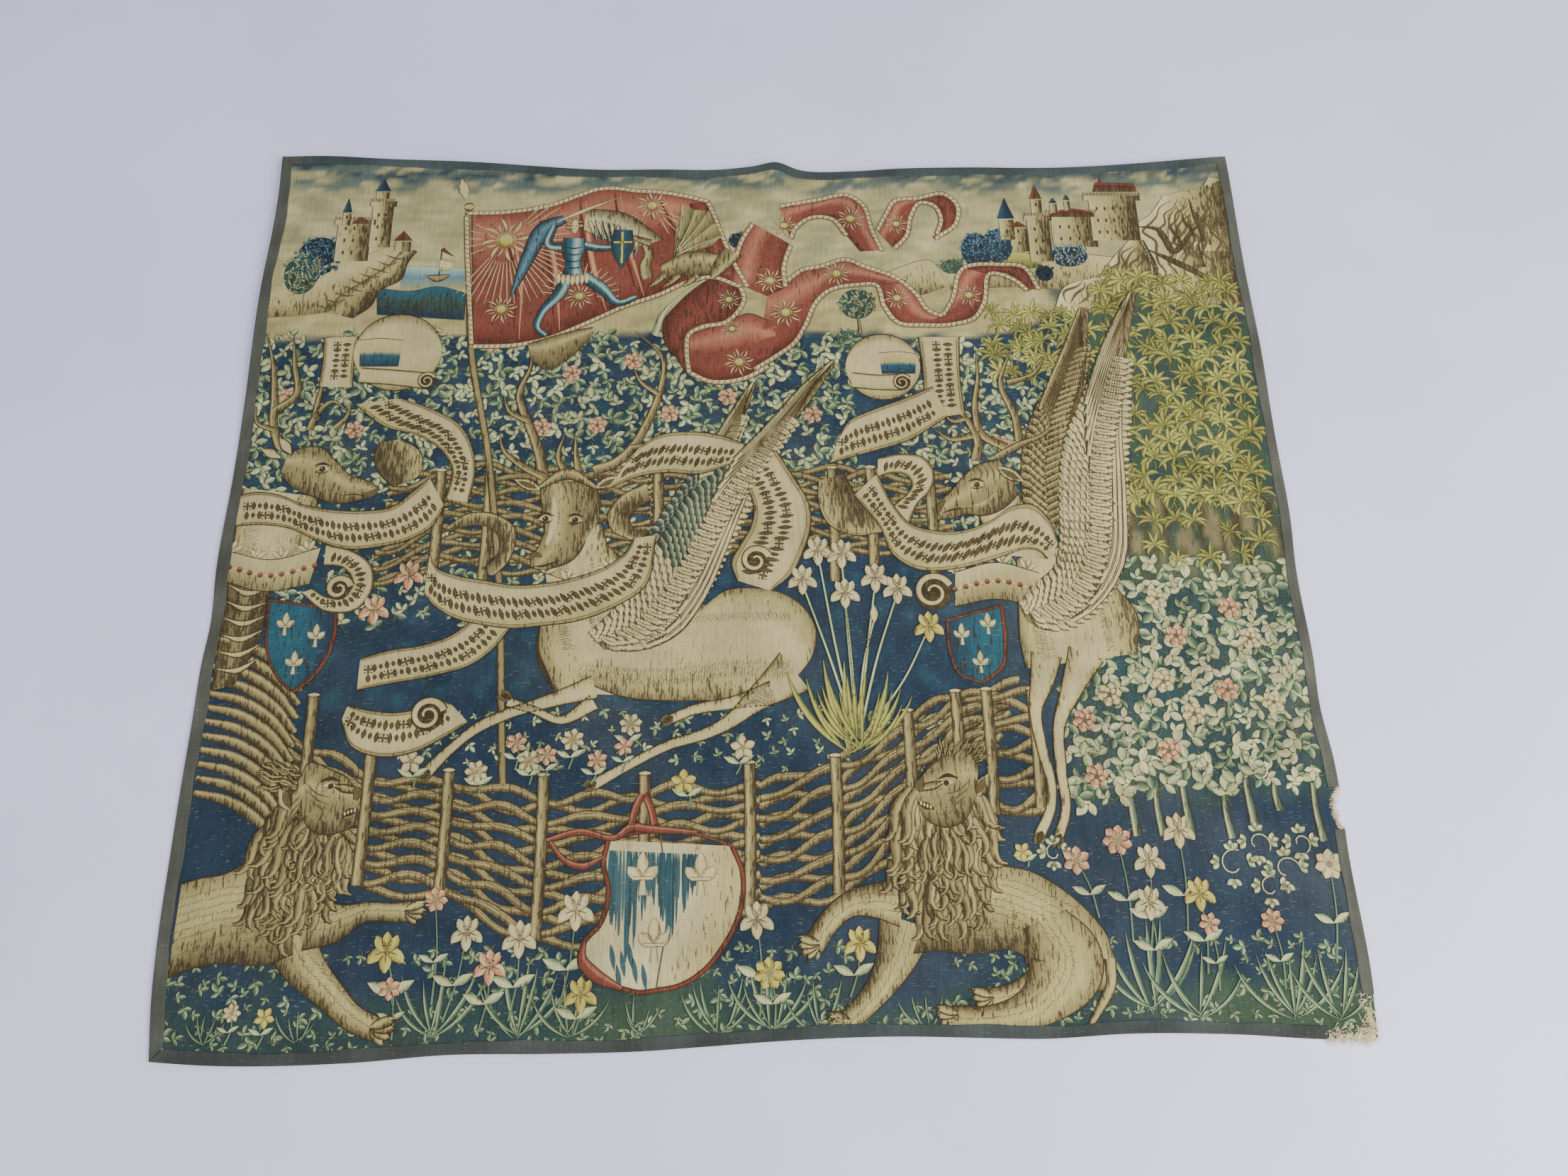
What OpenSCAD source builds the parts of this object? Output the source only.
// Tapestry wall hanging, taken down and laid face up.
// A printed rib-weave face cloth and its lining are bound together by a dark woven edging
// tape. A rod sleeve is sewn to the back below the top edge. The bottom right corner and a
// stretch of the right edge are worn through to loose, undyed yarns.
// +X runs to the right of the picture, +Y to its top, +Z up from the floor.

/* [Hanging] */
// Width over the edging tape, corner to corner
hang_w = 1500; // [900:10:2400]
// Height over the edging tape, corner to corner
hang_h = 1330; // [800:10:2200]
// How far the top edge sags at its middle
top_sag = 25; // [0:1:40]
// How far the bottom edge is drawn up at its middle
bottom_bow = 13; // [0:1:30]
// How far the two sides bulge outwards
side_bulge = 7; // [0:1:20]

/* [Cloth] */
// Thickness of the face cloth
face_t = 1.2; // [0.6:0.1:3]
// Thickness of the lining
lining_t = 0.5; // [0.3:0.1:1.5]
// Slack space between two plies that are sewn together
ply_gap = 0.05; // [0.02:0.01:0.2]

/* [Edging tape] */
// Width of the tape on the front and on the back
tape_w = 13; // [8:0.5:25]
// Thickness of the tape
tape_t = 0.6; // [0.4:0.1:1.2]
// Gap between two tapes at a mitred corner
mitre_gap = 0.4; // [0.2:0.1:1]

/* [Rod sleeve] */
// Clear height of the tunnel where the sleeve stands open
tunnel_h = 8; // [5:0.5:25]
// Clear width of the tunnel
tunnel_w = 64; // [40:2:120]
// Width of the seam allowance on each side of the tunnel
flange_w = 10; // [8:1:20]
// Thickness of the sleeve cloth
sleeve_t = 0.5; // [0.3:0.1:1.2]
// Distance from each side edge to the end of the sleeve
sleeve_inset = 40; // [20:5:120]
// Distance from the tape to the sleeve
sleeve_drop = 8; // [4:1:60]

/* [Stitches] */
// Thickness of the sewing thread
thread_t = 0.5; // [0.3:0.05:0.5]
// Width that one stitch covers
stitch_w = 1.6; // [1:0.2:3]
// Length of one stitch
stitch_l = 6; // [3:0.5:10]
// Distance between stitches
stitch_pitch = 14; // [10:1:30]

/* [Wear] */
// Height of the middle of the worn notch above the bottom edge
notch_y = 287; // [150:1:600]
// Length of the worn notch along the right edge
notch_l = 62; // [30:1:120]
// Depth of the worn notch
notch_d = 11; // [4:1:12]
// Length of the frayed corner along the bottom edge
corner_w = 60; // [50:1:120]
// Length of the frayed corner along the right edge
corner_h = 52; // [50:1:120]
// Width of the band of loose yarns
yarn_w = 15; // [10:1:30]
// Height above the bottom edge of the lining scrap that shows at the right
scrap_y = 187; // [100:1:240]
// Length of that scrap along the edge
scrap_l = 22; // [10:1:40]
// How far the scrap shows past the tape
scrap_out = 5; // [2:1:5]

/* [Hidden] */

// Colours
ink_green = [0.33, 0.35, 0.31];
picture_blue = [0.25, 0.33, 0.38];
raw_linen = [0.80, 0.74, 0.58];
undyed_yarn = [0.84, 0.78, 0.58];
thread_grey = [0.45, 0.46, 0.40];
calico = [0.86, 0.84, 0.76];

// The plies, counted up from the underside of the edging tape
z_lining = tape_t + ply_gap;
z_face = z_lining + lining_t + ply_gap;
z_front = z_face + face_t + ply_gap;
z_top = z_front + tape_t;
// The upper face of the sleeve's seam allowances, under the lining
z_sleeve = z_lining - ply_gap;

// The sleeve, measured from the top edge at its lowest point
sleeve_top = hang_h / 2 - top_sag - tape_w - sleeve_drop;
sleeve_mid = sleeve_top - flange_w - tunnel_w / 2;
sleeve_bottom = sleeve_mid - tunnel_w / 2 - flange_w;
sleeve_half = hang_w / 2 - sleeve_inset;

// The cloth lies flat on the floor, rises below the sleeve and stays up as far as the top edge
rise = tunnel_h + sleeve_t + ply_gap - z_lining;
ramp = 110;
ramp_steps = 14;
over = 30;
edge_steps = 24;
ramp_start = sleeve_bottom - ramp;
function rise_at(y) = rise * (1 - cos(180 * max(0, min(1, (y - ramp_start) / ramp)))) / 2;
lie_y = concat(
    [-hang_h / 2 - over],
    [for (i = [0 : ramp_steps]) ramp_start + i * ramp / ramp_steps],
    [hang_h / 2 + over]
);
lie_table = [for (y = lie_y) [y, rise_at(y)]];

// The outline of the hanging, moved inwards by an inset
function top_edge(x) = hang_h / 2 - top_sag * (1 - pow(abs(2 * x / hang_w), 2.4));
function bottom_edge(x) = -hang_h / 2 + bottom_bow * pow(cos(90 * min(1, abs(2 * x / hang_w))), 2);
function side_edge(y) = hang_w / 2 + side_bulge * pow(cos(90 * min(1, abs(2 * y / hang_h))), 2);
function along(a, b) = [for (i = [0 : edge_steps - 1]) a + (b - a) * i / edge_steps];

module outline(inset = 0) {
    x1 = hang_w / 2 - inset;
    y1 = hang_h / 2 - inset;
    polygon(concat(
        [for (x = along(-x1, x1)) [x, bottom_edge(x) + inset]],
        [for (y = along(-y1, y1)) [side_edge(y) - inset, y]],
        [for (x = along(x1, -x1)) [x, top_edge(x) - inset]],
        [for (y = along(y1, -y1)) [inset - side_edge(y), y]]
    ));
}

// A ply that follows the way the hanging lies, between two heights above its underside
module ply(low, high) {
    rotate([90, 0, 90])
        translate([0, 0, -hang_w / 2 - over])
            linear_extrude(hang_w + 2 * over)
                polygon(concat(
                    [for (p = lie_table) [p[0], p[1] + low]],
                    [for (i = [len(lie_table) - 1 : -1 : 0]) [lie_table[i][0], lie_table[i][1] + high]]
                ));
}

module sheet(low, high) {
    intersection() {
        ply(low, high);
        translate([0, 0, -over]) linear_extrude(rise + 2 * over) children();
    }
}

// One of the four mitred fields of the border, as wide as the mitres leave it
module field(side) {
    x = hang_w / 2;
    y = hang_h / 2;
    r = min(x, y) / 2;
    g = mitre_gap / 2;
    if (side == "top" || side == "bottom") mirror([0, side == "bottom" ? 1 : 0]) polygon([
        [g - x - over, y + over], [x + over - g, y + over],
        [x - r - g, y - r], [r - x + g, y - r]
    ]);
    if (side == "left" || side == "right") mirror([side == "left" ? 1 : 0, 0]) polygon([
        [x + over, y + over - g], [x + over, g - y - over],
        [x - r, r - y + g], [x - r, y - r - g]
    ]);
}

// Where the worn notch and the frayed corner have taken cloth and tape away
notch_mid = notch_y - hang_h / 2;
notch_r = (pow(notch_l / 2, 2) + pow(notch_d, 2)) / (2 * notch_d);
notch_x = side_edge(notch_mid) - notch_d + notch_r;
module notch(grow = 0) {
    translate([notch_x, notch_mid]) circle(r = notch_r + grow, $fn = 120);
}
module corner(grow = 0) {
    x = hang_w / 2;
    y = -hang_h / 2;
    polygon([
        [x - corner_w - grow, y - over], [x - corner_w - grow, y + yarn_w + grow],
        [x - yarn_w * 1.6 - grow, y + yarn_w + grow], [x - yarn_w - grow, y + yarn_w * 1.6 + grow],
        [x - yarn_w - grow, y + corner_h + grow], [x + over, y + corner_h + grow], [x + over, y - over]
    ]);
}
module worn(grow = 0) {
    notch(grow);
    corner(grow);
}

module face_cloth() {
    color(picture_blue) sheet(z_face, z_face + face_t) difference() {
        outline(tape_t + ply_gap);
        worn(ply_gap);
    }
}

module lining() {
    color(calico) sheet(z_lining, z_lining + lining_t) difference() {
        outline(tape_t + ply_gap);
        worn(ply_gap);
    }
}

// A tape folded over the edge: a front leg, the fold and a back leg
module tape(side) {
    module leg_field() {
        intersection() {
            difference() {
                outline();
                outline(tape_w);
            }
            field(side);
        }
    }
    module fold_field() {
        intersection() {
            difference() {
                outline();
                outline(tape_t);
            }
            field(side);
        }
    }
    color(ink_green) union() {
        sheet(0, tape_t) difference() { leg_field(); worn(ply_gap); }
        sheet(z_front, z_top) difference() { leg_field(); worn(ply_gap); }
        sheet(0, z_top) difference() { fold_field(); worn(ply_gap); }
    }
}

module above_notch() {
    intersection() {
        children();
        translate([0, notch_mid, -over]) cube([hang_w, hang_h * 2, hang_h]);
    }
}

module below_notch() {
    intersection() {
        children();
        translate([0, notch_mid - hang_h * 2, -over]) cube([hang_w, hang_h * 2, hang_h]);
    }
}

// Whip stitches on the back, along the inner edge of the tape's back leg
module edging_stitches(side) {
    across = side == "left" || side == "right";
    reach = (across ? hang_h : hang_w) / 2 - 2 * tape_w;
    color(thread_grey) sheet(z_lining - ply_gap - thread_t, z_lining - ply_gap) intersection() {
        difference() {
            outline(tape_w + ply_gap);
            outline(tape_w + ply_gap + stitch_w);
            worn(stitch_w);
        }
        field(side);
        for (p = [-reach : stitch_pitch : reach])
            translate(across ? [0, p] : [p, 0])
                square(across ? [2 * hang_w, stitch_l] : [stitch_l, 2 * hang_h], center = true);
    }
}

// The sleeve strip: flat where it is sewn, and hanging clear of the lining between the seams
tunnel_steps = 14;
function tunnel(y) = tunnel_h * max(0, 1 - pow(2 * (y - sleeve_mid) / tunnel_w, 2));
module rod_sleeve() {
    ys = concat(
        [sleeve_bottom],
        [for (i = [0 : tunnel_steps]) sleeve_mid - tunnel_w / 2 + i * tunnel_w / tunnel_steps],
        [sleeve_top]
    );
    upper = [for (y = ys) [y, rise + z_sleeve - tunnel(y)]];
    lower = [for (i = [len(upper) - 1 : -1 : 0]) upper[i] - [0, sleeve_t]];
    color(raw_linen) rotate([90, 0, 90]) translate([0, 0, -sleeve_half])
        linear_extrude(2 * sleeve_half) polygon(concat(upper, lower));
}

// Running stitches under a seam allowance of the sleeve
module sleeve_stitches(y) {
    seat = z_sleeve - sleeve_t - ply_gap;
    reach = sleeve_half - stitch_pitch;
    color(thread_grey) sheet(seat - thread_t, seat) for (x = [-reach : stitch_pitch : reach])
        translate([x, y]) square([stitch_l, stitch_w], center = true);
}

// Loose yarns where the tape and the dyed surface are gone
module corner_yarns() {
    color(undyed_yarn) sheet(0, z_face + face_t) intersection() {
        outline();
        corner();
    }
}

module notch_yarns() {
    color(undyed_yarn) sheet(z_lining, z_face + face_t) intersection() {
        outline();
        difference() {
            notch();
            notch(-3);
        }
    }
}

module lining_scrap() {
    low = scrap_y - hang_h / 2 - scrap_l / 2;
    x = max(side_edge(low), side_edge(low + scrap_l)) + ply_gap;
    color(calico) translate([x, low, 0]) cube([scrap_out, scrap_l, lining_t]);
}

face_cloth();
lining();
tape("top");  // edging_top
tape("bottom");  // edging_bottom
tape("left");  // edging_left
above_notch() tape("right");  // edging_right_upper
below_notch() tape("right");  // edging_right_lower
edging_stitches("top");  // edging_stitches_top
edging_stitches("bottom");  // edging_stitches_bottom
edging_stitches("left");  // edging_stitches_left
edging_stitches("right");  // edging_stitches_right
rod_sleeve();
sleeve_stitches(sleeve_top - flange_w / 2);  // sleeve_stitches_upper
sleeve_stitches(sleeve_bottom + flange_w / 2);  // sleeve_stitches_lower
corner_yarns();
notch_yarns();
lining_scrap();
